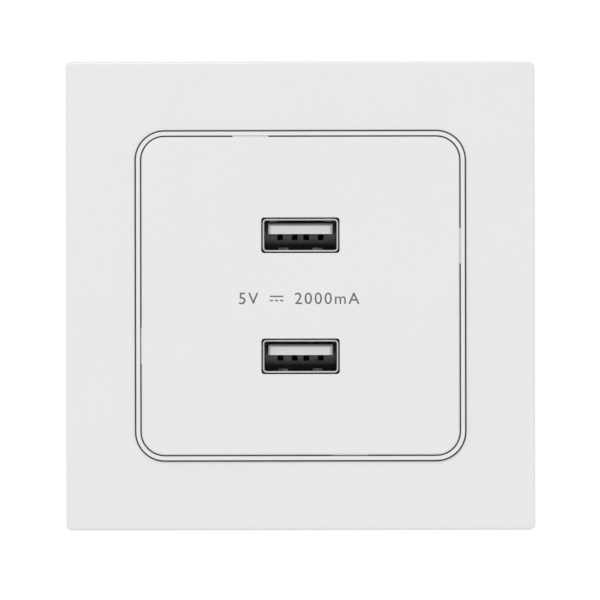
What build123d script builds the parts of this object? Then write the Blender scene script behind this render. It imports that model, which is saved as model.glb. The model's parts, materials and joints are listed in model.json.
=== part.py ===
from build123d import *
import os

# Twin USB charging socket for a round flush box, in millimetres.
# X is to the right and Z is up as seen from the room, Y points into the wall, and the
# origin is the middle of the screw pattern on the wall's surface.

# Cover frame
frame_size = 81.0
frame_depth = 9.0
frame_wall = 2.0
frame_face = 2.0
frame_corner_radius = 1.0
frame_edge_radius = 0.55
opening_bevel = 0.1
collar_wall = 1.2
ledge_width = 1.6
ledge_thickness = 1.5
frame_rib_thickness = 1.2
frame_rib_offset = 18.0

# Centre plate and the retaining ring around it
plate_size = 54.9
plate_corner_radius = 4.0
plate_thickness = 2.0
plate_bevel = 0.25
plate_proud = 0.8
plate_rib_thickness = 1.0
plate_rib_height = 1.2
ring_width = 0.7
ring_proud = 0.5
ring_flange_width = 1.07
ring_flange_thickness = 1.0
reveal_gap = 0.22
centring_pad_fit = 0.02
centring_pad_recess = 0.7
seat_gap = 0.3

# Snap legs of the plate and of the ring, and the catches that hold them
leg_offset = 8.6
leg_width = 6.2
leg_thickness = 1.2
leg_clearance = 0.3
hook_reach = 0.8
hook_length = 1.2
catch_drop = 2.4
catch_clearance = 0.2

# Charging ports
port_pitch = 20.9
port_clearance = 0.2
port_bevel = 0.1
port_radius = 0.5
port_collar_wall = 1.0
port_collar_length = 1.8
mouth_recess = 0.35
cavity_width = 12.5
cavity_height = 5.12
cavity_radius = 0.4
shell_wall = 0.3
shell_length = 13.45
shell_tab_width = 2.4
insulator_fit = 0.1
insulator_length = 3.5
tongue_width = 11.1
tongue_thickness = 1.84
tongue_gap = 0.5
tongue_recess = 0.9
tongue_bevel = 0.4
tongue_slope = 0.9
groove_width = 1.2
groove_depth = 0.6
groove_stop = 0.65
contact_positions = (-3.5, -1.0, 1.0, 3.5)
contact_width = 1.0
contact_thickness = 0.2
contact_bow = 1.0
finger_offset = 2.95
finger_width = 1.7
finger_thickness = 0.25
finger_length = 6.4
finger_rise = 0.45
finger_clearance = 0.25

# Front cover of the charger module
cover_wall = 1.6
cover_corner = 2.0
cover_window_clearance = 0.4
notch_clearance = 0.5
boss_width = 4.4
boss_inset = 2.3
stake_width = 2.4
stake_clearance = 0.2
stake_head_width = 4.0
stake_head_height = 1.0
post_size = 4.0
post_inset = 2.9

# Support frame, pressed from sheet steel
support_clearance = 3.0
support_thickness = 1.0
support_corner = 6.0
support_rim_overlap = 0.5
box_screw_spacing = 60.0
box_slot_width = 4.0
box_slot_length = 6.4
stiffener_length = 20.0
stiffener_height = 2.0

# Rear housing
housing_wall = 1.6
housing_corner = 3.0
housing_bevel = 0.8
component_room = 18.8
step_drop = 1.0
lug_width = 5.0
lug_thickness = 1.6
column_size = 2.0

# Spreading claws and their screws
claw_lever = 3.0
claw_foot = 6.6
claw_arm = 14.0
claw_width = 9.0
claw_thickness = 1.2
claw_bend_radius = 1.5
claw_bead_radius = 0.8
claw_bead_fit = 0.05
claw_pivot_depth = 8.0
claw_tooth_length = 3.0
claw_tooth_lean = 1.5
claw_slot_length = 4.5
claw_slot_width = 3.3
claw_slot_shift = 0.4
cradle_reach = 1.0
cradle_depth = 4.0
cradle_length = 10.0
claw_screw_radius = 1.45
claw_screw_length = 14.0
claw_screw_free = 0.25
claw_head_radius = 2.75
claw_head_height = 2.0
screw_slot_width = 0.7
screw_slot_share = 0.5

# Circuit board
board_thickness = 1.6
board_clearance = 0.2
hole_clearance = 0.2
solder_recess = 0.3

# Mains terminals with rising cages
terminal_pitch = 7.5
block_side_wall = 1.75
block_height = 11.0
block_depth = 13.6
block_rear_wall = 2.2
block_floor = 0.7
block_clearance = 0.2
cage_clearance = 0.1
cage_side_clearance = 0.2
cage_width = 5.0
cage_length = 5.6
cage_wall = 0.8
cage_top = 1.4
cage_travel = 1.5
wire_room = 2.6
strip_width = 3.0
strip_thickness = 0.8
strip_gap = 0.15
strip_pin_width = 1.0
terminal_screw_radius = 1.5
terminal_screw_fit = 0.05
terminal_head_radius = 1.9
terminal_head_height = 1.4
terminal_head_fit = 0.25
terminal_shelf = 0.85
terminal_float = 0.05
wire_hole_width = 3.6
wire_hole_height = 2.8
wire_hole_bevel = 0.5

# Transformer
core_width = 13.0
core_thickness = 4.8
core_yoke = 2.2
core_leg = 4.0
core_outer_leg = 2.4
core_window = 8.0
core_standoff = 2.0
bobbin_fit = 0.1
bobbin_wall = 0.5
bobbin_half_depth = 6.0
bobbin_foot_width = 9.0
winding_room = 0.3

# Smaller components on the rear of the board
component_gap = 0.3
input_capacitor_radius = 4.0
input_capacitor_height = 13.0
output_capacitor_radius = 3.15
output_capacitor_height = 11.0
choke_size = (6.0, 6.4, 8.0)
fuse_size = (5.0, 3.2, 9.0)
safety_capacitor_size = (8.0, 3.2, 9.0)
case_bevel = 0.3
chip_lead_width = 0.5
chip_lead_height = 0.3
chip_lead_length = 0.9
rectifier_size = (3.8, 4.6, 2.4)
rectifier_pitch = 2.54
controller_size = (3.9, 4.9, 1.5)
controller_pitch = 1.27
optocoupler_size = (4.4, 4.6, 3.2)
optocoupler_pitch = 2.54
diode_size = (4.2, 3.6, 2.2)
diode_pitch = 3.6

# Depths along Y that follow from the sizes above, negative in front of the wall
frame_front = -frame_depth
ring_front = frame_front - ring_proud
plate_front = frame_front - plate_proud
plate_back = plate_front + plate_thickness
flange_front = plate_back + seat_gap
ledge_front = flange_front + ring_flange_thickness
ledge_back = ledge_front + ledge_thickness
cover_front = plate_back + port_collar_length
support_front = -support_thickness
catch_front = cover_front + catch_drop
hook_front = catch_front + catch_clearance
hook_back = hook_front + hook_length
mouth = plate_front + mouth_recess
board_front = mouth + shell_length
board_back = board_front + board_thickness
tail_end = board_back - solder_recess
housing_rear = board_back + component_room + housing_wall
step_rear = board_back + block_depth

# Sizes across the wall that follow from the sizes above
ring_inner = plate_size + 2 * reveal_gap
ring_outer = ring_inner + 2 * ring_width
ring_inner_radius = plate_corner_radius + reveal_gap
ring_outer_radius = ring_inner_radius + ring_width
opening_size = ring_outer + 2 * reveal_gap
opening_radius = ring_outer_radius + reveal_gap
ledge_opening = opening_size - 2 * ledge_width
flange_inner = ring_inner - 2 * ring_flange_width
leg_outer = flange_inner / 2 - leg_clearance
leg_inner = leg_outer - leg_thickness
hook_inner = leg_inner - hook_reach
cover_size = 2 * (leg_inner - leg_clearance)
shell_width = cavity_width + 2 * shell_wall
shell_height = cavity_height + 2 * shell_wall
shell_radius = cavity_radius + shell_wall
port_width = shell_width + 2 * port_clearance
port_height = shell_height + 2 * port_clearance
port_centres = (port_pitch / 2, -port_pitch / 2)
lug_centre = cover_size / 2 - boss_inset
lug_places = ((0, lug_centre), (0, -lug_centre))
housing_size = 2 * lug_centre - lug_width
housing_inner = housing_size - 2 * housing_wall
board_size = housing_inner - 2 * board_clearance
support_size = frame_size - 2 * (frame_wall + support_clearance)
post_place = housing_inner / 2 - post_inset
stake_hole = stake_width + 2 * stake_clearance
support_opening = housing_size - 2 * support_rim_overlap
claw_pivot = housing_size / 2 + cradle_reach
claw_screw_place = claw_pivot + claw_lever

# Heights of the terminal's pieces, from the housing's upper face down
block_top = housing_size / 2
block_bottom = block_top - block_height
chamber_floor = block_bottom + block_floor
cage_bottom = chamber_floor + cage_clearance
cage_floor = cage_bottom + cage_wall
strip_bottom = cage_floor + wire_room
strip_top = strip_bottom + strip_thickness
cage_roof = strip_top + strip_gap
cage_height = cage_roof + cage_top - cage_bottom
chamber_top = cage_bottom + cage_height + cage_travel + cage_clearance
shelf_top = chamber_top + terminal_shelf
terminal_places = (-terminal_pitch / 2, terminal_pitch / 2)
strip_pin_place = (terminal_pitch + strip_width - strip_pin_width) / 2
strip_pin_places = (-strip_pin_place, strip_pin_place)
chamber_width = cage_width + 2 * cage_side_clearance
chamber_rear = step_rear - block_rear_wall
block_width = terminal_pitch + chamber_width + 2 * block_side_wall
cage_rear = chamber_rear - cage_side_clearance
wire_centre = (cage_floor + strip_bottom) / 2
terminal_screw_depth = cage_rear - cage_length / 2

# Places of the components, in X and Z, in rows along the housing's walls
wall_line = housing_inner / 2 - component_gap
row_start = housing_inner / 2 - column_size - component_gap
input_x = input_capacitor_radius - wall_line
input_z = input_capacitor_radius - row_start
next_input_z = input_z + 2 * input_capacitor_radius + component_gap
choke_x = choke_size[0] / 2 - wall_line
choke_z = next_input_z + input_capacitor_radius + component_gap + choke_size[1] / 2
fuse_x = fuse_size[0] / 2 - wall_line
fuse_z = choke_z + choke_size[1] / 2 + component_gap + fuse_size[1] / 2
transformer_x = wall_line - core_width / 2
transformer_z = bobbin_half_depth - wall_line
safety_x = wall_line - safety_capacitor_size[0] / 2
safety_z = transformer_z + bobbin_half_depth + component_gap + safety_capacitor_size[1] / 2
output_x = wall_line - output_capacitor_radius
output_z = safety_z + safety_capacitor_size[1] / 2 + component_gap + output_capacitor_radius
next_output_z = output_z + 2 * output_capacitor_radius + component_gap
chip_x = (input_x + input_capacitor_radius + transformer_x - core_width / 2) / 2


def facing(depth):
    """Sketch plane parallel to the wall and seen from the room, at this depth along Y."""
    return Plane.XZ.offset(-depth)


def save(part, name):
    """Labels one finished piece and writes it to its own file."""
    part.label = name
    export_step(part, f"parts/{name}.step")


def snap_leg(offset, root):
    """Hooked leg on the upper side of a square part, from its root back to the catch."""
    with BuildPart() as leg:
        with BuildSketch(Plane.YZ.offset(offset - leg_width / 2)):
            with BuildLine():
                Polyline(
                    (root, leg_outer),
                    (root, leg_inner),
                    (hook_front, leg_inner),
                    (hook_front, hook_inner),
                    (hook_front + hook_length / 3, hook_inner),
                    (hook_back, leg_inner),
                    (hook_back, leg_outer),
                    close=True,
                )
            make_face()
        extrude(amount=leg_width)
    return leg.part


def bent_strip(thickness, *line):
    """Corners of a bent strip's side view: its upper line, then that line one thickness lower."""
    return [*line, *[(y, z - thickness) for y, z in reversed(line)]]


def slotted_screw(seat, head_radius, head_height, shank_radius, shank_length):
    """Screw whose head stands on the seat plane and whose shank goes down behind it."""
    with BuildPart() as screw:
        with BuildSketch(seat):
            Circle(head_radius)
        extrude(amount=head_height)
        with BuildSketch(seat):
            Circle(shank_radius)
        extrude(amount=-shank_length)
        with BuildSketch(seat.offset(head_height * (1 - screw_slot_share))):
            Rectangle(3 * head_radius, screw_slot_width)
        extrude(amount=head_height, mode=Mode.SUBTRACT)
    return screw.part


def make_cover_frame():
    with BuildPart() as cover_frame:
        with BuildSketch(facing(0)):
            RectangleRounded(frame_size, frame_size, frame_corner_radius)
        extrude(amount=frame_depth)
        fillet(cover_frame.faces().sort_by(Axis.Y)[0].edges(), frame_edge_radius)
        with BuildSketch(facing(0)):
            Rectangle(frame_size - 2 * frame_wall, frame_size - 2 * frame_wall)
        extrude(amount=frame_depth - frame_face, mode=Mode.SUBTRACT)
        with BuildSketch(facing(ledge_back)):
            Rectangle(opening_size + 2 * collar_wall, opening_size + 2 * collar_wall)
        extrude(amount=ledge_back - frame_front - frame_face)
        rib_start = opening_size / 2 + collar_wall / 2
        rib_end = frame_size / 2 - frame_wall / 2
        with BuildSketch(facing(support_front)):
            with PolarLocations(0, 4):
                with Locations((-frame_rib_offset, 0), (frame_rib_offset, 0)):
                    with Locations((0, (rib_start + rib_end) / 2)):
                        Rectangle(frame_rib_thickness, rib_end - rib_start)
        extrude(amount=support_front - frame_front - frame_face)
        with BuildSketch(facing(ledge_front)):
            RectangleRounded(opening_size, opening_size, opening_radius)
        extrude(amount=ledge_front - frame_front, mode=Mode.SUBTRACT)
        with BuildSketch(facing(ledge_back)):
            Rectangle(ledge_opening, ledge_opening)
        extrude(amount=ledge_thickness, mode=Mode.SUBTRACT)
        front = cover_frame.faces().filter_by(Axis.Y).sort_by(Axis.Y)[0]
        chamfer(front.inner_wires()[0].edges(), opening_bevel)
    save(cover_frame.part, "cover_frame")


def make_retaining_ring():
    with BuildPart() as ring:
        with BuildSketch(facing(ledge_front)):
            RectangleRounded(ring_outer, ring_outer, ring_outer_radius)
        extrude(amount=ring_flange_thickness)
        with BuildSketch(facing(ledge_front)):
            hole = Rectangle(flange_inner, flange_inner)
            chamfer(hole.vertices(), plate_corner_radius / 2)
        extrude(amount=ring_flange_thickness, mode=Mode.SUBTRACT)
        with BuildSketch(facing(flange_front)):
            RectangleRounded(ring_outer, ring_outer, ring_outer_radius)
            RectangleRounded(ring_inner, ring_inner, ring_inner_radius, mode=Mode.SUBTRACT)
        extrude(amount=flange_front - ring_front)
        bridge = flange_inner / 2 + ring_flange_width / 2 - leg_inner
        with BuildSketch(facing(ledge_front)):
            with PolarLocations(0, 4):
                with Locations((leg_offset, leg_inner + bridge / 2)):
                    Rectangle(leg_width, bridge)
        extrude(amount=ring_flange_thickness)
        leg = snap_leg(leg_offset, flange_front)
        for quarter in range(4):
            add(leg.rotate(Axis.Y, 90 * quarter))
    save(ring.part, "retaining_ring")


def make_centre_plate():
    with BuildPart() as plate:
        with BuildSketch(facing(plate_back)):
            RectangleRounded(plate_size, plate_size, plate_corner_radius)
        extrude(amount=plate_thickness)
        chamfer(plate.faces().sort_by(Axis.Y)[0].edges(), plate_bevel)
        pad_height = reveal_gap - centring_pad_fit
        with BuildSketch(facing(plate_back)):
            with PolarLocations(0, 4):
                with Locations((-leg_offset, plate_size / 2)):
                    Rectangle(leg_width, 2 * pad_height)
        extrude(amount=plate_thickness - centring_pad_recess)
        with BuildSketch(facing(cover_front)):
            with Locations(*[(0, z) for z in port_centres]):
                Rectangle(port_width + 2 * port_collar_wall, port_height + 2 * port_collar_wall)
        extrude(amount=port_collar_length)
        rib_span = leg_inner - port_width / 2 - port_collar_wall / 2
        with BuildSketch(facing(plate_back + plate_rib_height)):
            for z in port_centres:
                for side in (-1, 1):
                    with Locations((side * (leg_inner - rib_span / 2), z)):
                        Rectangle(rib_span, plate_rib_thickness)
        extrude(amount=plate_rib_height)
        with BuildSketch(facing(cover_front)):
            with Locations(*[(0, z) for z in port_centres]):
                RectangleRounded(port_width, port_height, port_radius)
        extrude(amount=cover_front - plate_front, mode=Mode.SUBTRACT)
        front = plate.faces().filter_by(Axis.Y).sort_by(Axis.Y)[0]
        for port in front.inner_wires():
            chamfer(port.edges(), port_bevel)
        leg = snap_leg(-leg_offset, plate_back)
        for quarter in range(4):
            add(leg.rotate(Axis.Y, 90 * quarter))
    save(plate.part, "centre_plate")


def make_front_cover():
    head_room = claw_head_radius + notch_clearance
    notch_depth = cover_size / 2 - claw_screw_place + head_room
    with BuildPart() as cover:
        with BuildSketch(facing(support_front)) as outline:
            square = Rectangle(cover_size, cover_size)
            chamfer(square.vertices(), cover_corner)
            for side in (-1, 1):
                with Locations((side * (cover_size / 2 - notch_depth / 2), 0)):
                    Rectangle(notch_depth, 2 * head_room, mode=Mode.SUBTRACT)
        extrude(amount=support_front - cover_front)
        with BuildSketch(facing(support_front)):
            add(outline.sketch.face())
            offset(amount=-cover_wall, kind=Kind.INTERSECTION, mode=Mode.REPLACE)
        extrude(amount=support_front - cover_front - cover_wall, mode=Mode.SUBTRACT)
        with BuildSketch(facing(support_front)):
            with Locations(*lug_places):
                Rectangle(boss_width, boss_width)
        extrude(amount=support_front - cover_front)
        with BuildSketch(facing(lug_thickness)):
            with Locations(*lug_places):
                Rectangle(stake_width, stake_width)
        extrude(amount=lug_thickness - support_front)
        with BuildSketch(facing(lug_thickness + stake_head_height)):
            with Locations(*lug_places):
                Rectangle(stake_head_width, stake_head_width)
        extrude(amount=stake_head_height)
        chamfer(cover.faces().group_by(Axis.Y)[-1].edges(), stake_head_height / 2)
        with BuildSketch(facing(board_front)):
            with GridLocations(2 * post_place, 2 * post_place, 2, 2):
                Rectangle(post_size, post_size)
        extrude(amount=board_front - cover_front - cover_wall)
        with BuildSketch(facing(cover_front + cover_wall)):
            with Locations(*[(0, z) for z in port_centres]):
                Rectangle(
                    shell_width + 2 * cover_window_clearance, shell_height + 2 * cover_window_clearance
                )
        extrude(amount=cover_wall, mode=Mode.SUBTRACT)
        pocket_depth = hook_reach + leg_clearance - leg_clearance / 2
        with BuildSketch(facing(support_front)):
            with PolarLocations(0, 4):
                with Locations((-leg_offset, cover_size / 2), (leg_offset, cover_size / 2)):
                    Rectangle(leg_width + 2 * leg_clearance, 2 * pocket_depth)
        extrude(amount=support_front - catch_front, mode=Mode.SUBTRACT)
    save(cover.part, "front_cover")


def make_support_frame():
    stiffener_middle = (support_size - support_thickness) / 2
    with BuildPart() as support:
        with BuildSketch(facing(0)):
            sheet = Rectangle(support_size, support_size)
            chamfer(sheet.vertices(), support_corner)
            with PolarLocations(box_screw_spacing / 2, 4):
                SlotOverall(box_slot_length, box_slot_width, mode=Mode.SUBTRACT)
            with Locations((-claw_screw_place, 0), (claw_screw_place, 0)):
                Circle(claw_screw_radius + claw_screw_free, mode=Mode.SUBTRACT)
            with Locations(*lug_places):
                Rectangle(stake_hole, stake_hole, mode=Mode.SUBTRACT)
        extrude(amount=support_thickness)
        with BuildSketch(facing(0)):
            opening = Rectangle(support_opening, support_opening)
            chamfer(opening.vertices(), housing_corner)
        extrude(amount=support_thickness, mode=Mode.SUBTRACT)
        with BuildSketch(facing(support_front)):
            with PolarLocations(0, 4):
                with Locations((0, stiffener_middle)):
                    Rectangle(stiffener_length, support_thickness)
        extrude(amount=stiffener_height)
    save(support.part, "support_frame")


def make_rear_housing():
    deep_height = housing_size / 2 + block_bottom - step_drop
    deep_middle = -housing_size / 2 + deep_height / 2
    with BuildPart() as housing:
        with BuildSketch(facing(step_rear)):
            Rectangle(housing_size, housing_size)
        extrude(amount=step_rear)
        with BuildSketch(facing(housing_rear)):
            with Locations((0, deep_middle)):
                Rectangle(housing_size, deep_height)
        extrude(amount=housing_rear - step_rear + housing_wall)
        upright = housing.edges().filter_by(Axis.Y)
        chamfer(upright.filter_by(lambda edge: abs(edge.center().Z) == housing_size / 2), housing_corner)
        chamfer(housing.faces().sort_by(Axis.Y)[-1].edges(), housing_bevel)
        with BuildSketch(facing(step_rear - housing_wall)):
            Rectangle(housing_inner, housing_inner)
        extrude(amount=step_rear - housing_wall, mode=Mode.SUBTRACT)
        with BuildSketch(facing(housing_rear - housing_wall)):
            with Locations((0, deep_middle)):
                Rectangle(housing_inner, deep_height - 2 * housing_wall)
        extrude(amount=housing_rear - step_rear + housing_wall, mode=Mode.SUBTRACT)
        column_place = (housing_inner - column_size) / 2
        with BuildSketch(facing(step_rear - housing_wall)):
            with GridLocations(2 * column_place, 2 * column_place, 2, 2):
                Rectangle(column_size, column_size)
        extrude(amount=step_rear - housing_wall - board_back)
        with BuildSketch(facing(housing_rear - housing_wall)):
            with Locations((-column_place, -column_place), (column_place, -column_place)):
                Rectangle(column_size, column_size)
        extrude(amount=housing_rear - step_rear)
        with BuildSketch(facing(lug_thickness)):
            with Locations(*lug_places):
                Rectangle(lug_width, lug_width)
                Rectangle(stake_hole, stake_hole, mode=Mode.SUBTRACT)
        extrude(amount=lug_thickness)
        cutout_height = block_height + block_clearance + housing_wall
        with BuildSketch(facing(step_rear)):
            with Locations((0, block_bottom - block_clearance + cutout_height / 2)):
                Rectangle(block_width + 2 * block_clearance, cutout_height)
        extrude(amount=block_depth, mode=Mode.SUBTRACT)
        with BuildSketch(Plane.XY.offset(-cradle_length / 2)):
            for side in (-1, 1):
                with Locations((side * (claw_pivot - cradle_reach), claw_pivot_depth)):
                    Rectangle(2 * cradle_reach, cradle_depth)
                with Locations((side * claw_pivot, claw_pivot_depth)):
                    Circle(claw_bead_radius + claw_bead_fit, mode=Mode.SUBTRACT)
        extrude(amount=cradle_length)
    save(housing.part, "rear_housing")


def make_claws():
    arm = claw_pivot + claw_foot
    arm_end = claw_pivot_depth + claw_arm
    with BuildPart() as claw_right:
        with BuildSketch(Plane.XY.offset(-claw_width / 2)):
            with BuildLine():
                FilletPolyline(
                    (claw_pivot, claw_pivot_depth),
                    (arm, claw_pivot_depth),
                    (arm, arm_end - claw_tooth_length),
                    (arm + claw_tooth_lean, arm_end),
                    radius=claw_bend_radius,
                )
            trace(line_width=claw_thickness)
            with Locations((claw_pivot, claw_pivot_depth)):
                Circle(claw_bead_radius)
        extrude(amount=claw_width)
        with BuildSketch(facing(claw_pivot_depth + claw_thickness)):
            with Locations((claw_screw_place + claw_slot_shift, 0)):
                Rectangle(claw_slot_length, claw_slot_width)
        extrude(amount=2 * claw_thickness, mode=Mode.SUBTRACT)
        tooth_root = arm_end - claw_tooth_length
        beyond = arm_end + claw_thickness
        with BuildSketch(Plane.YZ.offset(arm - 2 * claw_thickness)):
            for middle in (-claw_width / 2, 0, claw_width / 2):
                with BuildLine():
                    Polyline(
                        (tooth_root, middle),
                        (beyond, middle - claw_width / 4),
                        (beyond, middle + claw_width / 4),
                        close=True,
                    )
                make_face()
        extrude(amount=4 * claw_thickness + claw_tooth_lean, mode=Mode.SUBTRACT)
    save(claw_right.part, "claw_right")
    with BuildPart() as claw_left:
        mirror(claw_right.part, about=Plane.YZ)
    save(claw_left.part, "claw_left")


def make_claw_screws():
    for name, x in (("claw_screw_left", -claw_screw_place), ("claw_screw_right", claw_screw_place)):
        seat = Plane(origin=(x, support_front, 0), x_dir=(1, 0, 0), z_dir=(0, -1, 0))
        screw = slotted_screw(
            seat, claw_head_radius, claw_head_height, claw_screw_radius, claw_screw_length
        )
        save(screw, name)


def make_circuit_board():
    tail_height = tongue_underside() + groove_depth - contact_thickness
    with BuildPart() as board:
        with BuildSketch(facing(board_back)):
            Rectangle(board_size, board_size)
            for z in port_centres:
                with Locations(*[(x, z + tail_height) for x in contact_positions]):
                    Rectangle(
                        contact_width + 2 * hole_clearance,
                        contact_thickness + 2 * hole_clearance,
                        mode=Mode.SUBTRACT,
                    )
                with Locations(*[(side * (shell_width - shell_wall) / 2, z) for side in (-1, 1)]):
                    Rectangle(
                        shell_wall + 2 * hole_clearance,
                        shell_tab_width + 2 * hole_clearance,
                        mode=Mode.SUBTRACT,
                    )
            with Locations(*[(x, (strip_bottom + strip_top) / 2) for x in strip_pin_places]):
                Rectangle(
                    strip_pin_width + 2 * hole_clearance,
                    strip_thickness + 2 * hole_clearance,
                    mode=Mode.SUBTRACT,
                )
        extrude(amount=board_thickness)
    save(board.part, "circuit_board")


def tongue_underside():
    """Height of the tongue's lower face above the middle of its port."""
    return cavity_height / 2 - tongue_gap - tongue_thickness


def make_usb_shell(name, z):
    floor = z - cavity_height / 2
    wall_middle = floor - shell_wall / 2
    finger_tip = mouth + shell_wall + finger_clearance
    finger_root = finger_tip + finger_length
    with BuildPart() as shell:
        with BuildSketch(facing(board_front)):
            with Locations((0, z)):
                RectangleRounded(shell_width, shell_height, shell_radius)
                RectangleRounded(cavity_width, cavity_height, cavity_radius, mode=Mode.SUBTRACT)
        extrude(amount=shell_length)
        with BuildSketch(facing(finger_root)):
            with Locations((-finger_offset, wall_middle), (finger_offset, wall_middle)):
                Rectangle(finger_width + 2 * finger_clearance, 2 * shell_wall)
        extrude(amount=finger_length + finger_clearance, mode=Mode.SUBTRACT)
        for x in (-finger_offset, finger_offset):
            with BuildSketch(Plane.YZ.offset(x - finger_width / 2)):
                finger = bent_strip(
                    finger_thickness,
                    (finger_root + shell_wall, floor),
                    (finger_root - finger_length / 6, floor),
                    (finger_tip + finger_length / 6, floor + finger_rise),
                    (finger_tip, floor),
                )
                Polygon(*finger, align=None)
            extrude(amount=finger_width)
        with BuildSketch(facing(tail_end)):
            for side in (-1, 1):
                with Locations((side * (shell_width - shell_wall) / 2, z)):
                    Rectangle(shell_wall, shell_tab_width)
        extrude(amount=tail_end - board_front)
    save(shell.part, name)


def make_usb_insulator(name, z):
    tongue_tip = mouth + tongue_recess
    block_front = board_front - insulator_length
    underside = z + tongue_underside()
    with BuildPart() as insulator:
        with BuildSketch(facing(block_front)):
            with Locations((0, underside + tongue_thickness / 2)):
                Rectangle(tongue_width, tongue_thickness)
        extrude(amount=block_front - tongue_tip)
        tip = insulator.faces().sort_by(Axis.Y)[0]
        chamfer(tip.edges().sort_by(Axis.Z)[-1], tongue_bevel, tongue_slope, reference=tip)
        sides = insulator.faces().sort_by(Axis.Y)[0].edges().sort_by(Axis.X)
        chamfer([sides[0], sides[-1]], tongue_bevel)
        with BuildSketch(facing(board_front)):
            with Locations((0, z)):
                block = Rectangle(cavity_width - 2 * insulator_fit, cavity_height - 2 * insulator_fit)
            chamfer(block.vertices(), cavity_radius / 2)
        extrude(amount=insulator_length)
        with BuildSketch(facing(board_front)):
            with Locations(*[(x, underside + groove_depth / 2) for x in contact_positions]):
                Rectangle(groove_width, groove_depth)
        extrude(amount=board_front - tongue_tip - groove_stop, mode=Mode.SUBTRACT)
    save(insulator.part, name)


def make_usb_contacts(name, z):
    underside = z + tongue_underside()
    level = underside + groove_depth - contact_thickness / 2
    tip = mouth + tongue_recess + groove_stop + contact_thickness
    bow_depth = tip + shell_length / 6
    bow_start = tip + shell_length / 2
    with BuildPart() as contacts:
        for x in contact_positions:
            with BuildSketch(Plane.YZ.offset(x - contact_width / 2)):
                contact = bent_strip(
                    contact_thickness,
                    (tail_end, level),
                    (bow_start, level),
                    (bow_depth, underside - contact_bow + contact_thickness),
                    (tip, level),
                )
                Polygon(*contact, align=None)
            extrude(amount=contact_width)
    save(contacts.part, name)


def make_terminal_block():
    shelf_hole = 2 * (terminal_screw_radius + terminal_head_fit)
    with BuildPart() as block:
        with BuildSketch(facing(step_rear)):
            with Locations((0, (block_top + block_bottom) / 2)):
                Rectangle(block_width, block_height)
        extrude(amount=block_depth)
        with BuildSketch(facing(chamber_rear)):
            with Locations(*[(x, (chamber_floor + chamber_top) / 2) for x in terminal_places]):
                Rectangle(chamber_width, chamber_top - chamber_floor)
        extrude(amount=chamber_rear - board_back, mode=Mode.SUBTRACT)
        with BuildSketch(facing(step_rear)):
            with Locations(*[(x, wire_centre) for x in terminal_places]):
                Rectangle(wire_hole_width, wire_hole_height)
        extrude(amount=block_rear_wall, mode=Mode.SUBTRACT)
        rear = block.faces().filter_by(Axis.Y).sort_by(Axis.Y)[-1]
        for hole in rear.inner_wires():
            chamfer(hole.edges(), wire_hole_bevel)
        with BuildSketch(Plane.XY.offset(shelf_top)):
            with Locations(*[(x, terminal_screw_depth) for x in terminal_places]):
                Circle(terminal_head_radius + terminal_head_fit)
        extrude(amount=block_top - shelf_top, mode=Mode.SUBTRACT)
        with BuildSketch(Plane.XY.offset(chamber_top)):
            with Locations(*[(x, terminal_screw_depth) for x in terminal_places]):
                Rectangle(shelf_hole, shelf_hole)
        extrude(amount=terminal_shelf, mode=Mode.SUBTRACT)
    save(block.part, "terminal_block")


def make_terminal_cage(name, x):
    front = cage_rear - cage_length
    with BuildPart() as cage:
        with BuildSketch(facing(cage_rear)):
            with Locations((x, cage_bottom + cage_height / 2)):
                Rectangle(cage_width, cage_height)
            with Locations((x, (cage_floor + cage_roof) / 2)):
                Rectangle(cage_width - 2 * cage_wall, cage_roof - cage_floor, mode=Mode.SUBTRACT)
        extrude(amount=cage_rear - front)
        with BuildSketch(Plane.XY.offset(cage_roof)):
            with Locations((x, terminal_screw_depth)):
                Circle(terminal_screw_radius + terminal_screw_fit)
        extrude(amount=cage_top, mode=Mode.SUBTRACT)
    save(cage.part, name)


def make_terminal_strips():
    with BuildPart() as strips:
        pin_end = board_front + solder_recess
        for x, pin in zip(terminal_places, strip_pin_places):
            with BuildSketch(Plane.XY.offset(strip_bottom)):
                with Locations((x, (cage_rear + board_back) / 2)):
                    Rectangle(strip_width, cage_rear - board_back)
                with Locations((pin, (board_back + pin_end) / 2)):
                    Rectangle(strip_pin_width, board_back - pin_end)
            extrude(amount=strip_thickness)
    save(strips.part, "terminal_strips")


def make_terminal_screw(name, x):
    seat = Plane(origin=(x, terminal_screw_depth, shelf_top + terminal_float))
    shank = shelf_top - strip_top
    screw = slotted_screw(
        seat, terminal_head_radius, terminal_head_height, terminal_screw_radius, shank
    )
    save(screw, name)


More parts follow.
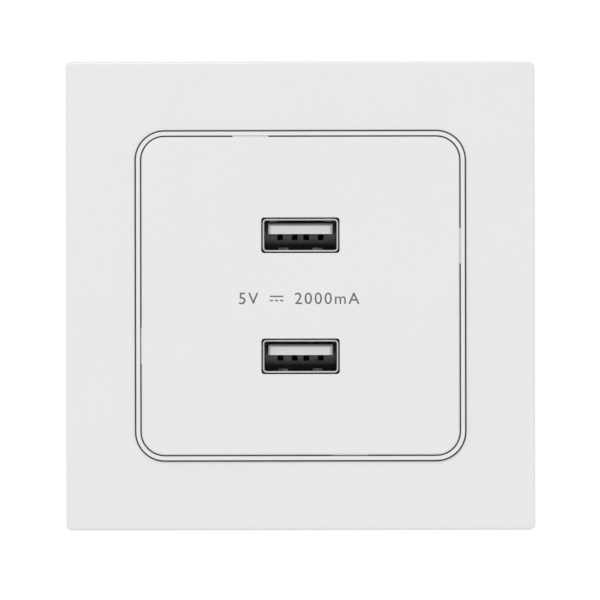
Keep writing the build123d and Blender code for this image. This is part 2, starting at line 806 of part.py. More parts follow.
def make_transformer():
    x, z = transformer_x, transformer_z
    core_start = board_back + core_standoff
    core_end = core_start + core_window + 2 * core_yoke
    window_start = core_start + core_yoke
    window_width = core_width / 2 - core_leg / 2 - core_outer_leg
    window_middle = core_leg / 2 + window_width / 2
    with BuildPart() as core:
        with BuildSketch(Plane.XY.offset(z - core_thickness / 2)):
            with Locations((x, (core_start + core_end) / 2)):
                Rectangle(core_width, core_end - core_start)
            with Locations(*[(x + side * window_middle, window_start + core_window / 2) for side in (-1, 1)]):
                Rectangle(window_width, core_window, mode=Mode.SUBTRACT)
        extrude(amount=core_thickness)
    save(core.part, "transformer_core")

    flange_width = core_leg + 2 * window_width - 2 * bobbin_fit
    tube_width = core_leg + 2 * bobbin_fit + 2 * bobbin_wall
    tube_depth = core_thickness + 2 * bobbin_fit + 2 * bobbin_wall
    with BuildPart() as bobbin:
        with BuildSketch(facing(window_start + core_window - bobbin_fit)):
            with Locations((x, z)):
                Rectangle(flange_width, 2 * bobbin_half_depth)
        extrude(amount=bobbin_wall)
        with BuildSketch(facing(window_start + bobbin_fit + bobbin_wall)):
            with Locations((x, z)):
                Rectangle(flange_width, 2 * bobbin_half_depth)
        extrude(amount=bobbin_wall)
        with BuildSketch(facing(window_start + core_window - bobbin_fit)):
            with Locations((x, z)):
                Rectangle(tube_width, tube_depth)
        extrude(amount=core_window - 2 * bobbin_fit)
        foot_depth = bobbin_half_depth - core_thickness / 2 - bobbin_fit
        foot_middle = bobbin_half_depth - foot_depth / 2
        with BuildSketch(facing(window_start + bobbin_fit + bobbin_wall)):
            with Locations((x, z - foot_middle), (x, z + foot_middle)):
                Rectangle(bobbin_foot_width, foot_depth)
        extrude(amount=window_start + bobbin_fit + bobbin_wall - board_back)
        with BuildSketch(facing(window_start + core_window)):
            with Locations((x, z)):
                Rectangle(core_leg + 2 * bobbin_fit, core_thickness + 2 * bobbin_fit)
        extrude(amount=core_window, mode=Mode.SUBTRACT)
    save(bobbin.part, "transformer_bobbin")

    winding_start = window_start + bobbin_fit + bobbin_wall
    winding_length = core_window - 2 * bobbin_fit - 2 * bobbin_wall
    with BuildPart() as winding:
        with BuildSketch(facing(winding_start + winding_length)):
            with Locations((x, z)):
                coil = Rectangle(flange_width - 2 * winding_room, 2 * bobbin_half_depth - 2 * winding_room)
                chamfer(coil.vertices(), core_leg / 2)
                Rectangle(tube_width, tube_depth, mode=Mode.SUBTRACT)
        extrude(amount=winding_length)
    save(winding.part, "transformer_winding")


def make_upright_cans(name, places, radius, height):
    """Electrolytic capacitors that stand on the rear of the board."""
    with BuildPart() as cans:
        with BuildSketch(facing(board_back + height)):
            with Locations(*places):
                Circle(radius)
        extrude(amount=height)
    save(cans.part, name)


def make_boxed_case(name, place, size):
    """Moulded box on the rear of the board, with bevelled rear edges."""
    width, length, height = size
    with BuildPart() as case:
        with BuildSketch(facing(board_back + height)):
            with Locations(place):
                Rectangle(width, length)
        extrude(amount=height)
        chamfer(case.faces().sort_by(Axis.Y)[-1].edges(), case_bevel)
    save(case.part, name)


def make_chip(name, place, size, pitch):
    """Moulded package on the board, with gull-wing leads along its two sides."""
    width, length, height = size
    with BuildPart() as chip:
        with BuildSketch(facing(board_back + height)):
            with Locations(place):
                Rectangle(width, length)
        extrude(amount=height)
        chamfer(chip.faces().sort_by(Axis.Y)[-1].edges(), case_bevel)
        with BuildSketch(facing(board_back + chip_lead_height)):
            with Locations(place):
                with GridLocations(width + chip_lead_length, pitch, 2, round(length / pitch)):
                    Rectangle(chip_lead_length + chip_lead_height, chip_lead_width)
        extrude(amount=chip_lead_height)
    save(chip.part, name)


os.makedirs("parts", exist_ok=True)
make_cover_frame()
make_retaining_ring()
make_centre_plate()
make_front_cover()
make_support_frame()
make_rear_housing()
make_claws()
make_claw_screws()
make_circuit_board()
for level, height in zip(("upper", "lower"), port_centres):
    make_usb_shell(f"usb_shell_{level}", height)
    make_usb_insulator(f"usb_insulator_{level}", height)
    make_usb_contacts(f"usb_contacts_{level}", height)
make_terminal_block()
make_terminal_strips()
for pole, place in zip(("live", "neutral"), terminal_places):
    make_terminal_cage(f"terminal_cage_{pole}", place)
    make_terminal_screw(f"terminal_screw_{pole}", place)
make_transformer()
make_upright_cans(
    "input_capacitors",
    ((input_x, input_z), (input_x, next_input_z)),
    input_capacitor_radius,
    input_capacitor_height,
)
make_upright_cans(
    "output_capacitors",
    ((output_x, output_z), (output_x, next_output_z)),
    output_capacitor_radius,
    output_capacitor_height,
)
make_boxed_case("filter_choke", (choke_x, choke_z), choke_size)
make_boxed_case("fuse_resistor", (fuse_x, fuse_z), fuse_size)
make_boxed_case("safety_capacitor", (safety_x, safety_z), safety_capacitor_size)
chip_edge = -wall_line
for name, size, pitch in (
    ("bridge_rectifier", rectifier_size, rectifier_pitch),
    ("controller_chip", controller_size, controller_pitch),
    ("optocoupler", optocoupler_size, optocoupler_pitch),
    ("output_diode", diode_size, diode_pitch),
):
    make_chip(name, (chip_x, chip_edge + size[1] / 2), size, pitch)
    chip_edge += size[1] + component_gap
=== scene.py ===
import json
import math
from functools import partial

import bmesh
import bpy
from mathutils import Matrix, Vector


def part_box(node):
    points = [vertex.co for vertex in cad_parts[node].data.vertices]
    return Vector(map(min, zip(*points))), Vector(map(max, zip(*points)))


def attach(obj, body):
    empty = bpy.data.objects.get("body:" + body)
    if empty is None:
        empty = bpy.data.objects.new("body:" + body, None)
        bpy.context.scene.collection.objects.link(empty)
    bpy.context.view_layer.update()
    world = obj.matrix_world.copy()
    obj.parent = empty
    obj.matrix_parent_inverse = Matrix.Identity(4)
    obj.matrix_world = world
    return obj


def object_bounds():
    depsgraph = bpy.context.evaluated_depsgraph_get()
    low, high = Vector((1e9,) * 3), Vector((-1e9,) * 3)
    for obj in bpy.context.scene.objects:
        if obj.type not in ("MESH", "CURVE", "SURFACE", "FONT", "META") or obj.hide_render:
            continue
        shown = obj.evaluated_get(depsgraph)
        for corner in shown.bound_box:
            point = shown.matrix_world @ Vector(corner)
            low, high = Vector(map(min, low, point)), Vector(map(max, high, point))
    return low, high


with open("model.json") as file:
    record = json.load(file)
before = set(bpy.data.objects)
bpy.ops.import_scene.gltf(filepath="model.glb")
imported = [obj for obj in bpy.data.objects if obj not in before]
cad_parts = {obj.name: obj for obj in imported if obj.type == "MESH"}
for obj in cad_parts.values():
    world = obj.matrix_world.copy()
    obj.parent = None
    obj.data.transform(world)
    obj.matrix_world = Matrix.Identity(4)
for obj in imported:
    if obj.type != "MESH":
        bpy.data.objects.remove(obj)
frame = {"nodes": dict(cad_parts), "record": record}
cad_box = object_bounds()
nodes = frame["nodes"]

MM = 0.001
RIGHT_ANGLE = math.radians(90)

# The photograph: its size and the object's middle in pixels, its scale and its slight tilt
PHOTO_SIZE = 600
PHOTO_MIDDLE = (300.5, 295.8)
PIXEL = 0.1727 * MM
PHOTO_TILT = math.radians(0.1)
CAMERA_DISTANCE = 1.09
SENSOR = 36.0

# Print between the ports, measured on the centre plate
PRINT_WORDS = ("5V", "2000mA")
PRINT_MIDDLE = (-0.22 * MM, -0.45 * MM)
PRINT_HEIGHT = 2.0 * MM
PRINT_SPACING = 1.2
PRINT_GAP = 2.0 * MM
PRINT_THICKNESS = 0.012 * MM
PRINT_GREY = 0.12
LETTER_RESOLUTION = 4

# Sign for direct current in that print, a bar over dashes
SYMBOL_WIDTH = 2.3 * MM
SYMBOL_STROKE = 0.22 * MM
SYMBOL_RISE = 0.36 * MM
SYMBOL_DASHES = 3
SYMBOL_DASH = SYMBOL_WIDTH / 4.2

# Front ends of the centring pads: the CAD pads' gap to the ring, and their own gaps, clockwise from the top
PAD_FIT = 0.02 * MM
PAD_GAPS = (0.01 * MM, 0.03 * MM, 0.14 * MM, 0.11 * MM)
PAD_HEIGHT = 0.25 * MM
PAD_EDGE = 0.015 * MM

# Threads of the claw screws, with half the ridge's width at its root and at its crest
THREAD_PITCH = 0.5 * MM
THREAD_HEIGHT = 0.12 * MM
THREAD_SINK = THREAD_HEIGHT / 4
THREAD_ROOT = 0.42 * THREAD_PITCH
THREAD_CREST = THREAD_ROOT / 6
THREAD_STEPS = 20

# Letters moulded on the terminal block's rear, above its wire holes
MARK_LETTERS = {"live": "L", "neutral": "N"}
MARK_HEIGHT = 2.0 * MM
MARK_RELIEF = 0.3 * MM
MARK_INSET = 2.4 * MM

# Rounding of the sharp edges of nodes that can be seen
SOFT_EDGES = {
    "centre_plate": 0.06 * MM,
    "retaining_ring": 0.06 * MM,
    "front_cover": 0.12 * MM,
    "rear_housing": 0.2 * MM,
    "support_frame": 0.12 * MM,
    "terminal_block": 0.12 * MM,
    "terminal_screw_live": 0.1 * MM,
    "terminal_screw_neutral": 0.1 * MM,
    "usb_shell_upper": 0.11 * MM,
    "usb_shell_lower": 0.11 * MM,
}
SHARP_ANGLE = math.radians(32)
FLAT_ANGLE = math.radians(0.5)
EDGE_SEGMENTS = 2
WELD_DISTANCE = 0.001 * MM

# Nodes with flat faces round an opening, which a merged face could close
UNMERGED = ("rear_housing", "usb_shell_upper", "usb_shell_lower")

# A vertex this close to a side of its node's box counts as lying on it
TOUCH = 0.01 * MM

# Part of a factor's range over which it changes a colour or roughness
FACTOR_SPAN = (0.3, 0.7)

# Stretches of a noise, and how many grains of a matte plastic a patch of even roughness is wide
EVEN = (1, 1, 1)
ALONG_Y = (1, 0.05, 1)
PATCH_GRAINS = 3

# Insulators' rear block, painted with shade that is darkest at its foot and lighter towards the tongue: its
# greys, and how far their range runs below its foot and above the port's middle
BLOCK_SHADE_GREYS = (0.004, 0.62)
BLOCK_BELOW = 0.36 * MM
BLOCK_ABOVE = 1.04 * MM

# Insulators' tongue: the share by which it is darker than its slot, and the depths of its fade into the
# block's painted shade
TONGUE_SHADE = 0.06
TONGUE_FADE = (1.5 * MM, 6.0 * MM)

# Share of the record's brightness that the port shells keep, as they are dulled by wear
SHELL_DULLNESS = 0.84

# Bare metal of a sleeved can, where its surface faces the rear at least this much
CAN_COLOUR = (0.72, 0.73, 0.74)
CAN_FACING = 0.7

# Stage: the floor, the even light of the world, and the lamps' places, sizes and power
FLOOR_DEPTH = 0.085
FLOOR_RADIUS = 0.6
FLOOR_FADE = 0.15
FLOOR_SIDES = 96
FLOOR_GREYS = (0.84, 0.86)
WHITE = (1, 1, 1, 1)
AMBIENT = 0.742
LAMPS = {
    "key": ((-0.3, -0.75, 0.8), 0.6, 3.5),
    "fill": ((0.8, -0.9, 0.1), 0.9, 0.8),
    "rear": ((0.5, 1.1, 0.6), 0.9, 6.0),
}


def feed(owner, socket, value):
    """Sets an input socket in the node tree of a material or world, or links it to an output socket."""
    if isinstance(value, bpy.types.NodeSocket):
        owner.node_tree.links.new(value, socket)
    else:
        socket.default_value = value


def add_node(owner, kind, **settings):
    """Node of that kind, with its own settings and what feeds its input sockets, by their names."""
    node = owner.node_tree.nodes.new(kind)
    for name, value in settings.items():
        socket = name.replace("_", " ")
        if socket in node.inputs:
            feed(owner, node.inputs[socket], value)
        else:
            setattr(node, name, value)
    return node


def shader_of(material):
    """The material's Principled shader."""
    return material.node_tree.nodes["Principled BSDF"]


def set_shader(material, **values):
    """Feeds the sockets of the material's shader, by their names."""
    for name, value in values.items():
        feed(material, shader_of(material).inputs[name.replace("_", " ")], value)


def new_material(name, **shader_values):
    """Material with a Principled shader whose sockets take the given values, by their names."""
    material = bpy.data.materials.new(name)
    material.use_nodes = True
    set_shader(material, **shader_values)
    return material


def calculate(owner, operation, *values):
    """Output of a math node on numbers or output sockets."""
    node = add_node(owner, "ShaderNodeMath", operation=operation)
    for socket, value in zip(node.inputs, values):
        feed(owner, socket, value)
    return node.outputs["Value"]


def ranged(material, value, start, end, low=0.0, high=1.0, **settings):
    """Output that goes from low to high while the value goes from start to end."""
    node = add_node(material, "ShaderNodeMapRange", Value=value, From_Min=start, From_Max=end,
                    To_Min=low, To_Max=high, **settings)
    return node.outputs["Result"]


def mix_colours(material, factor, first, second, blend_type="MIX"):
    """Colour output from the first colour to the second, by a factor."""
    mix = add_node(material, "ShaderNodeMix", data_type="RGBA", blend_type=blend_type)
    sockets = [socket for socket in mix.inputs if socket.enabled]
    for socket, value in zip(sockets, (factor, first, second)):
        feed(material, socket, value)
    return next(socket for socket in mix.outputs if socket.enabled)


def mix_shaders(owner, factor, first, second):
    """Shader output from the first shader to the second, by a factor."""
    mix = add_node(owner, "ShaderNodeMixShader")
    for socket, value in zip(mix.inputs, (factor, first, second)):
        feed(owner, socket, value)
    return mix.outputs["Shader"]


def noise(material, scale, detail=3.0, stretch=EVEN):
    """Output of a noise texture in the frame's own metres, stretched along its axes."""
    place = add_node(material, "ShaderNodeTexCoord")
    mapping = add_node(material, "ShaderNodeMapping", Vector=place.outputs["Object"], Scale=stretch)
    texture = add_node(material, "ShaderNodeTexNoise", Vector=mapping.outputs["Vector"],
                       Scale=scale, Detail=detail)
    return texture.outputs["Fac"]


def grey(level):
    """Colour without a hue."""
    return level, level, level


def shades(colour, spread):
    """The colour made darker and lighter by that share."""
    return [c * (1 - spread) for c in colour], [min(1, c * (1 + spread)) for c in colour]


def tint(material, factor, dark, light):
    """Colour output between two colours, by a factor around its middle."""
    ramp = add_node(material, "ShaderNodeValToRGB", Fac=factor)
    for end, position, colour in zip(ramp.color_ramp.elements, FACTOR_SPAN, (dark, light)):
        end.position, end.color = position, (*colour, 1)
    return ramp.outputs["Color"]


def paint(material, factor, colour, spread):
    """Varies the base colour around that colour by a share of it, by a factor around its middle."""
    set_shader(material, Base_Color=tint(material, factor, *shades(colour, spread)))


def roughen(material, factor, low, high):
    """Varies the roughness between two values, by a factor around its middle."""
    set_shader(material, Roughness=ranged(material, factor, *FACTOR_SPAN, low, high))


def relief(material, factor, strength, depth):
    """Bump of that depth in metres on the shader's normal."""
    bump = add_node(material, "ShaderNodeBump", Strength=strength, Distance=depth, Height=factor)
    set_shader(material, Normal=bump.outputs["Normal"])


def shade_crevices(material, reach, power):
    """Paints shade into the base colour where other surfaces close in within that reach."""
    # Painted shade: the colour darkens wherever the occlusion finds nearby surfaces
    colour = shader_of(material).inputs["Base Color"].links[0].from_socket
    occlusion = add_node(material, "ShaderNodeAmbientOcclusion", Distance=reach, samples=8)
    shade = calculate(material, "POWER", occlusion.outputs["AO"], power)
    set_shader(material, Base_Color=mix_colours(material, 1.0, colour, shade, "MULTIPLY"))


def gloss_plastic(name, colour):
    """Polished moulding with a faint orange peel, and painted shade in its narrow gaps."""
    material = new_material(name, IOR=1.49, Coat_Weight=0.25, Coat_Roughness=0.06)
    paint(material, noise(material, scale=60), colour, spread=0.006)
    # Painted shade in the gaps round the plate and ring
    shade_crevices(material, reach=0.4 * MM, power=1.0)
    roughen(material, noise(material, scale=900), low=0.17, high=0.24)
    relief(material, noise(material, scale=450, detail=2), strength=0.12, depth=0.02 * MM)
    return material


def matte_plastic(name, colour, grain=3500, roughness=(0.48, 0.62), depth=0.02 * MM, spread=0.08):
    """Moulding with a spark-eroded grain."""
    material = new_material(name, IOR=1.48)
    paint(material, noise(material, scale=250, detail=5), colour, spread)
    roughen(material, noise(material, scale=grain / PATCH_GRAINS), *roughness)
    relief(material, noise(material, scale=grain, detail=2), strength=0.35, depth=depth)
    return material


def insulator_plastic(name, colour):
    """Light tongue that fades into painted shade on the rear block, darkest at the block's foot, with painted
    shade in its crevices.
    """
    material = new_material(name, IOR=1.5, Specular_IOR_Level=0.2)
    low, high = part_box("usb_insulator_upper")
    port = (low.z + high.z) / 2
    geometry = add_node(material, "ShaderNodeNewGeometry")
    place = add_node(material, "ShaderNodeSeparateXYZ", Vector=geometry.outputs["Position"])
    side = calculate(material, "SIGN", place.outputs["Z"])
    centre = calculate(material, "MULTIPLY", side, port)
    height = calculate(material, "SUBTRACT", place.outputs["Z"], centre)
    # Painted shade on the rear block: darkest at its foot, lighter near the tongue
    rise = ranged(material, height, low.z - port - BLOCK_BELOW, BLOCK_ABOVE)
    block_shade = tint(material, rise, *(grey(level) for level in BLOCK_SHADE_GREYS))
    depth = ranged(material, place.outputs["Y"], *(low.y + reach for reach in TONGUE_FADE))
    tongue = (*shades(colour, TONGUE_SHADE)[0], 1)
    set_shader(material, Base_Color=mix_colours(material, depth, tongue, block_shade))
    # Painted shade in the insulator's crevices
    shade_crevices(material, reach=0.6 * MM, power=0.7)
    roughen(material, noise(material, scale=1500), low=0.38, high=0.5)
    relief(material, noise(material, scale=4000, detail=2), strength=0.2, depth=0.006 * MM)
    return material


def shell_metal(name, colour):
    """Nickel plate of a neutral grey, drawn along Y, with painted shade inside the ports."""
    material = new_material(name, Metallic=1.0)
    level = SHELL_DULLNESS * sum(colour) / len(colour)
    paint(material, noise(material, scale=400, detail=4, stretch=ALONG_Y), grey(level), spread=0.08)
    # Painted shade inside the ports
    shade_crevices(material, reach=2.0 * MM, power=0.62)
    roughen(material, noise(material, scale=1400, detail=4, stretch=ALONG_Y), low=0.38, high=0.5)
    return material


def plated_metal(name, colour, roughness, stretch=EVEN):
    """Plated or rolled metal, whose grain may run along one axis."""
    material = new_material(name, Metallic=1.0)
    paint(material, noise(material, scale=220, detail=4), colour, spread=0.08)
    roughen(material, noise(material, scale=1400, detail=4, stretch=stretch), *roughness)
    streaks = noise(material, scale=1400, detail=3, stretch=stretch)
    relief(material, streaks, strength=0.08, depth=0.006 * MM)
    return material


def contact_metal(name, colour):
    """Gold flash on the contacts, with painted shade where the tongue closes over them."""
    material = plated_metal(name, colour, roughness=(0.2, 0.3), stretch=ALONG_Y)
    # Painted shade from the tongue over the contacts
    shade_crevices(material, reach=4.0 * MM, power=3.0)
    return material


def taped_winding(name, colour):
    """Polyester tape wound round the coil, with its lap lines."""
    material = new_material(name, Roughness=0.3, Coat_Weight=0.3)
    place = add_node(material, "ShaderNodeTexCoord")
    laps = add_node(material, "ShaderNodeTexWave", Vector=place.outputs["Object"],
                    Scale=180.0, Distortion=0.6, bands_direction="Y")
    paint(material, laps.outputs["Fac"], colour, spread=0.12)
    relief(material, laps.outputs["Fac"], strength=0.3, depth=0.04 * MM)
    return material


def sleeved_can(name, colour):
    """Printed sleeve round an aluminium can, whose rear end is bare metal."""
    material = new_material(name)
    geometry = add_node(material, "ShaderNodeNewGeometry")
    facing = add_node(material, "ShaderNodeSeparateXYZ", Vector=geometry.outputs["Normal"])
    bare = calculate(material, "GREATER_THAN", facing.outputs["Y"], CAN_FACING)
    set_shader(material, Metallic=bare, Base_Color=tint(material, bare, colour, CAN_COLOUR))
    roughen(material, noise(material, scale=700), low=0.25, high=0.38)
    return material


def laminate(name, colour):
    """Solder mask over copper tracks."""
    material = new_material(name, Roughness=0.32, Coat_Weight=0.2)
    place = add_node(material, "ShaderNodeTexCoord")
    turned = add_node(material, "ShaderNodeMapping", Vector=place.outputs["Object"],
                      Rotation=(RIGHT_ANGLE, 0, 0))
    tracks = add_node(material, "ShaderNodeTexBrick", Vector=turned.outputs["Vector"],
                      Scale=420.0, Mortar_Size=0.12, Brick_Width=1.7)
    paint(material, tracks.outputs["Fac"], colour, spread=0.25)
    relief(material, tracks.outputs["Fac"], strength=0.3, depth=0.03 * MM)
    return material


def make_materials():
    """One material for each slot of the record."""
    colours = {m["slot"]: m["base_color"] for m in frame["record"]["materials"]}
    makers = {
        "white_gloss_plastic": gloss_plastic,
        "white_matte_plastic": insulator_plastic,
        "grey_plastic": matte_plastic,
        "dark_plastic": partial(matte_plastic, grain=3000, roughness=(0.48, 0.6), depth=0.03 * MM,
                                spread=0.1),
        "zinc_plated_steel": partial(plated_metal, roughness=(0.36, 0.43)),
        "screw_steel": partial(plated_metal, roughness=(0.25, 0.4)),
        "nickel_steel": shell_metal,
        "contact_gold": contact_metal,
        "board_laminate": laminate,
        "terminal_plastic": partial(matte_plastic, grain=3000, roughness=(0.45, 0.6)),
        "tinned_brass": partial(plated_metal, roughness=(0.25, 0.42)),
        "terminal_brass": partial(plated_metal, roughness=(0.2, 0.36), stretch=ALONG_Y),
        "ferrite": partial(matte_plastic, grain=2200, roughness=(0.5, 0.72), depth=0.03 * MM,
                           spread=0.25),
        "winding_tape": taped_winding,
        "capacitor_sleeve": sleeved_can,
        "fuse_case": matte_plastic,
        "capacitor_box": matte_plastic,
        "chip_epoxy": partial(matte_plastic, grain=4000, roughness=(0.5, 0.7), depth=0.015 * MM,
                              spread=0.2),
    }
    return {slot: make(slot, colours[slot]) for slot, make in makers.items()}


def soften(name, width):
    """Rounds a node's sharp edges over that width, on top of its own mesh."""
    modifiers = nodes[name].modifiers
    weld = modifiers.new("weld", "WELD")
    weld.merge_threshold = WELD_DISTANCE
    if name not in UNMERGED:
        merge = modifiers.new("merge", "DECIMATE")
        merge.decimate_type = "DISSOLVE"
        merge.angle_limit = FLAT_ANGLE
    bevel = modifiers.new("bevel", "BEVEL")
    bevel.width = width
    bevel.segments = EDGE_SEGMENTS
    bevel.limit_method = "ANGLE"
    bevel.angle_limit = SHARP_ANGLE
    bevel.use_clamp_overlap = True
    seal = modifiers.new("seal", "WELD")
    seal.merge_threshold = WELD_DISTANCE
    normals = modifiers.new("normals", "WEIGHTED_NORMAL")
    normals.keep_sharp = False


def new_object(name, data):
    """Object of a mesh, lamp or camera, in the scene."""
    made = bpy.data.objects.new(name, data)
    bpy.context.scene.collection.objects.link(made)
    return made


def new_piece(name, mesh, body, slot, material=None):
    """Object of that mesh, which rides on the body and is finished as the slot or in its own material."""
    piece = new_object(name, mesh)
    piece.data.materials.append(material or materials[slot])
    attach(piece, body)


def mesh_of(shape, name):
    """Mesh of a finished bmesh, which is freed."""
    mesh = bpy.data.meshes.new(name)
    shape.to_mesh(mesh)
    shape.free()
    return mesh


def add_box(shape, low, high):
    """Adds a box between two corners to a bmesh, and returns its vertices."""
    made = bmesh.ops.create_cube(shape, size=1.0)["verts"]
    size = Vector(high) - Vector(low)
    middle = (Vector(high) + Vector(low)) / 2
    place = Matrix.Translation(middle) @ Matrix.Diagonal((*size, 1))
    bmesh.ops.transform(shape, matrix=place, verts=made)
    return made


def add_mesh(shape, mesh, offset):
    """Adds a mesh, moved by the offset, to a bmesh."""
    mesh.transform(Matrix.Translation(offset))
    shape.from_mesh(mesh)
    bpy.data.meshes.remove(mesh)


def lettering(text, height, thickness, spacing=1.0):
    """Mesh of raised letters that face -Y, from the lower left corner at the origin, and their width."""
    unit = 1.0
    curve = bpy.data.curves.new(text, "FONT")
    curve.body = text
    curve.space_character = spacing
    curve.resolution_u = LETTER_RESOLUTION
    curve.extrude = unit / 2
    writer = bpy.data.objects.new(text, curve)
    mesh = bpy.data.meshes.new_from_object(writer)
    bpy.data.objects.remove(writer)
    bpy.data.curves.remove(curve)
    low = Vector([min(v.co[axis] for v in mesh.vertices) for axis in range(3)])
    high = Vector([max(v.co[axis] for v in mesh.vertices) for axis in range(3)])
    scale = height / (high.y - low.y)
    mesh.transform(Matrix.Translation(-low))
    mesh.transform(Matrix.Diagonal((scale, scale, thickness / unit, 1)))
    mesh.transform(Matrix.Rotation(RIGHT_ANGLE, 4, "X"))
    return mesh, (high.x - low.x) * scale


def direct_current_symbol(shape, left):
    """Adds a bar over dashes, the sign for direct current, between the figures."""
    middle = PRINT_HEIGHT / 2
    gap = (SYMBOL_WIDTH - SYMBOL_DASHES * SYMBOL_DASH) / (SYMBOL_DASHES - 1)
    strokes = [(left, SYMBOL_WIDTH, middle + SYMBOL_RISE)]
    for dash in range(SYMBOL_DASHES):
        strokes.append((left + dash * (SYMBOL_DASH + gap), SYMBOL_DASH, middle - SYMBOL_RISE))
    for start, length, height in strokes:
        add_box(shape, (start, -PRINT_THICKNESS, height - SYMBOL_STROKE / 2),
                (start + length, 0, height + SYMBOL_STROKE / 2))


def make_print():
    """Plain rating figures printed between the two ports."""
    plate_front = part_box("centre_plate")[0].y
    shape = bmesh.new()
    volts, volts_width = lettering(PRINT_WORDS[0], PRINT_HEIGHT, PRINT_THICKNESS, PRINT_SPACING)
    amps, amps_width = lettering(PRINT_WORDS[1], PRINT_HEIGHT, PRINT_THICKNESS, PRINT_SPACING)
    symbol_left = volts_width + PRINT_GAP
    amps_left = symbol_left + SYMBOL_WIDTH + PRINT_GAP
    add_mesh(shape, volts, (0, 0, 0))
    direct_current_symbol(shape, symbol_left)
    add_mesh(shape, amps, (amps_left, 0, 0))
    width = amps_left + amps_width
    corner = (PRINT_MIDDLE[0] - width / 2, plate_front, PRINT_MIDDLE[1] - PRINT_HEIGHT / 2)
    bmesh.ops.translate(shape, verts=shape.verts, vec=corner)
    ink = matte_plastic("print_ink", grey(PRINT_GREY))
    new_piece("rating_print", mesh_of(shape, "rating_print"), "socket", "terminal_plastic", ink)


def make_centring_pads():
    """Front ends of the plate's four centring pads, level with the ring, in the gap round the plate."""
    pad_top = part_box("centre_plate")[1].z
    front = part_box("retaining_ring")[0].y
    pad = [v.co for v in nodes["centre_plate"].data.vertices if pad_top - v.co.z < TOUCH]
    left, right = min(co.x for co in pad), max(co.x for co in pad)
    seat = min(co.y for co in pad)
    shape = bmesh.new()
    for quarter, gap in enumerate(PAD_GAPS):
        end = add_box(shape, (left, front, pad_top - PAD_HEIGHT), (right, seat, pad_top + PAD_FIT - gap))
        bmesh.ops.rotate(shape, verts=end, matrix=Matrix.Rotation(quarter * RIGHT_ANGLE, 3, "Y"))
    bmesh.ops.bevel(shape, geom=shape.edges, offset=PAD_EDGE, segments=EDGE_SEGMENTS, affect="EDGES")
    new_piece("centring_pads", mesh_of(shape, "centring_pads"), "socket", "white_gloss_plastic")


def thread(radius, length):
    """Mesh of a helical ridge round +Z, which runs out at both ends."""
    shape = bmesh.new()
    steps = round(length / THREAD_PITCH * THREAD_STEPS)
    root_flank = Vector((0, 0, THREAD_ROOT))
    crest_flank = Vector((0, 0, THREAD_CREST))
    last = None
    for step in range(steps + 1):
        angle = math.tau * step / THREAD_STEPS
        runout = min(1, step / THREAD_STEPS, (steps - step) / THREAD_STEPS)
        outward = Vector((math.cos(angle), math.sin(angle), 0))
        middle = Vector((0, 0, length * step / steps))
        root = middle + outward * (radius - THREAD_SINK)
        crest = middle + outward * (radius + THREAD_HEIGHT * runout)
        corners = (root - root_flank, crest - crest_flank, crest + crest_flank, root + root_flank)
        ring = [shape.verts.new(corner) for corner in corners]
        if last:
            for side in range(len(ring)):
                after = (side + 1) % len(ring)
                shape.faces.new((last[side], ring[side], ring[after], last[after]))
        else:
            shape.faces.new(ring)
        last = ring
    shape.faces.new(reversed(last))
    bmesh.ops.recalc_face_normals(shape, faces=shape.faces)
    return mesh_of(shape, "thread")


def screw_shank(name):
    """Radius of a claw screw's shank, read at its rear end."""
    low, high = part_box(name)
    middle = (low + high) / 2
    rear = [v.co for v in nodes[name].data.vertices if high.y - v.co.y < TOUCH]
    return max(math.hypot(co.x - middle.x, co.z - middle.z) for co in rear)


def make_claw_threads():
    """Threads of the two claw screws, behind the support frame."""
    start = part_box("support_frame")[1].y
    for side in ("left", "right"):
        name = f"claw_screw_{side}"
        low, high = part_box(name)
        middle = (low + high) / 2
        mesh = thread(screw_shank(name), high.y - start - THREAD_PITCH)
        mesh.transform(Matrix.Rotation(-RIGHT_ANGLE, 4, "X"))
        mesh.transform(Matrix.Translation((middle.x, start + THREAD_PITCH / 2, middle.z)))
        new_piece(f"claw_thread_{side}", mesh, name, "screw_steel")


def make_terminal_marks():
    """Letters of the two poles, moulded above the wire holes."""
    block_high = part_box("terminal_block")[1]
    for pole, letter in MARK_LETTERS.items():
        cage_low, cage_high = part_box(f"terminal_cage_{pole}")
        mesh, width = lettering(letter, MARK_HEIGHT, MARK_RELIEF)
        mesh.transform(Matrix.Rotation(2 * RIGHT_ANGLE, 4, "Z"))
        middle = (cage_low.x + cage_high.x + width) / 2
        mesh.transform(Matrix.Translation((middle, block_high.y, block_high.z - MARK_INSET - MARK_HEIGHT)))
        new_piece(f"terminal_mark_{pole}", mesh, "socket", "terminal_plastic")


def make_world():
    """White to the camera and in reflections, and a soft even light on everything else."""
    world = bpy.data.worlds.new("studio")
    world.use_nodes = True
    bpy.context.scene.world = world
    world.node_tree.nodes.clear()
    path = add_node(world, "ShaderNodeLightPath").outputs
    mirrored = calculate(world, "MAXIMUM", path["Is Glossy Ray"], path["Is Transmission Ray"])
    seen = calculate(world, "MAXIMUM", path["Is Camera Ray"], mirrored)
    light = add_node(world, "ShaderNodeBackground", Color=WHITE, Strength=AMBIENT)
    white = add_node(world, "ShaderNodeBackground", Color=WHITE)
    mix = mix_shaders(world, seen, light.outputs["Background"], white.outputs["Background"])
    add_node(world, "ShaderNodeOutputWorld", Surface=mix)


def make_lamp(name, place, size, power):
    """Square area lamp that looks at the object."""
    lamp = bpy.data.lights.new(name, "AREA")
    lamp.size = size
    lamp.energy = power
    holder = new_object(name, lamp)
    holder.location = place
    holder.rotation_euler = (-Vector(place)).to_track_quat("-Z", "Y").to_euler()


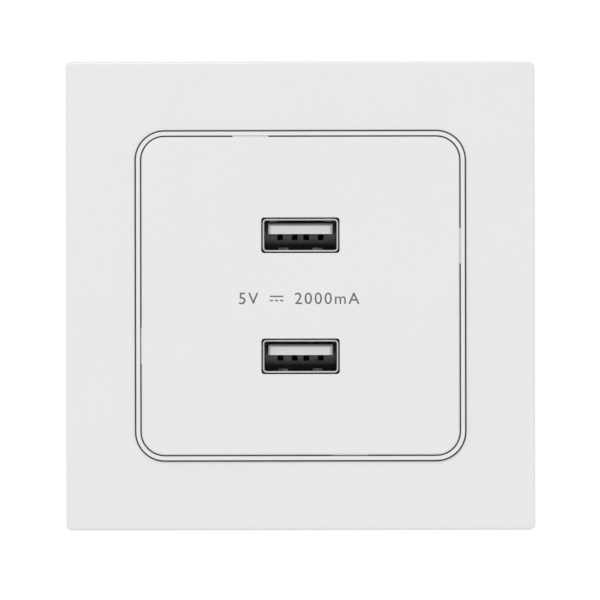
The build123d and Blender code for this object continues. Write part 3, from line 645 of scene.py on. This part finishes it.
def make_floor():
    """Pale round floor below the object, which fades into the background."""
    shape = bmesh.new()
    bmesh.ops.create_circle(shape, cap_ends=True, segments=FLOOR_SIDES, radius=FLOOR_RADIUS)
    bmesh.ops.translate(shape, verts=shape.verts, vec=(0, 0, -FLOOR_DEPTH))
    floor = new_object("floor", mesh_of(shape, "floor"))
    material = new_material("floor", Roughness=0.9)
    set_shader(material, Base_Color=tint(material, noise(material, scale=40), *map(grey, FLOOR_GREYS)))
    geometry = add_node(material, "ShaderNodeNewGeometry")
    distance = add_node(material, "ShaderNodeVectorMath", operation="LENGTH",
                        Vector=geometry.outputs["Position"])
    fade = ranged(material, distance.outputs["Value"], FLOOR_FADE, FLOOR_RADIUS,
                  interpolation_type="SMOOTHSTEP")
    clear = add_node(material, "ShaderNodeBsdfTransparent")
    mix = mix_shaders(material, fade, shader_of(material).outputs["BSDF"], clear.outputs["BSDF"])
    feed(material, material.node_tree.nodes["Material Output"].inputs["Surface"], mix)
    floor.data.materials.append(material)


def make_camera():
    """Camera square in front of the object, which frames it as the photograph does."""
    low, high = cad_box
    middle = (low + high) / 2
    camera = bpy.data.cameras.new("camera")
    camera.sensor_width = SENSOR
    camera.lens = SENSOR * CAMERA_DISTANCE / (PHOTO_SIZE * PIXEL)
    holder = new_object("camera", camera)
    aside = (PHOTO_SIZE / 2 - PHOTO_MIDDLE[0]) * PIXEL
    above = (PHOTO_MIDDLE[1] - PHOTO_SIZE / 2) * PIXEL
    frame_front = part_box("cover_frame")[0].y
    holder.location = (middle.x + aside, frame_front - CAMERA_DISTANCE, middle.z + above)
    holder.rotation_euler = (RIGHT_ANGLE, PHOTO_TILT, 0)
    bpy.context.scene.camera = holder


materials = make_materials()
for subpart in frame["record"]["subparts"]:
    for slot in nodes[subpart["node"]].material_slots:
        slot.material = materials[subpart["material_slot"]]

for name, width in SOFT_EDGES.items():
    soften(name, width)
make_print()
make_centring_pads()
make_claw_threads()
make_terminal_marks()

bpy.context.scene.view_settings.view_transform = "Standard"
make_world()
for name, (place, size, power) in LAMPS.items():
    make_lamp(name, place, size, power)
make_floor()
make_camera()
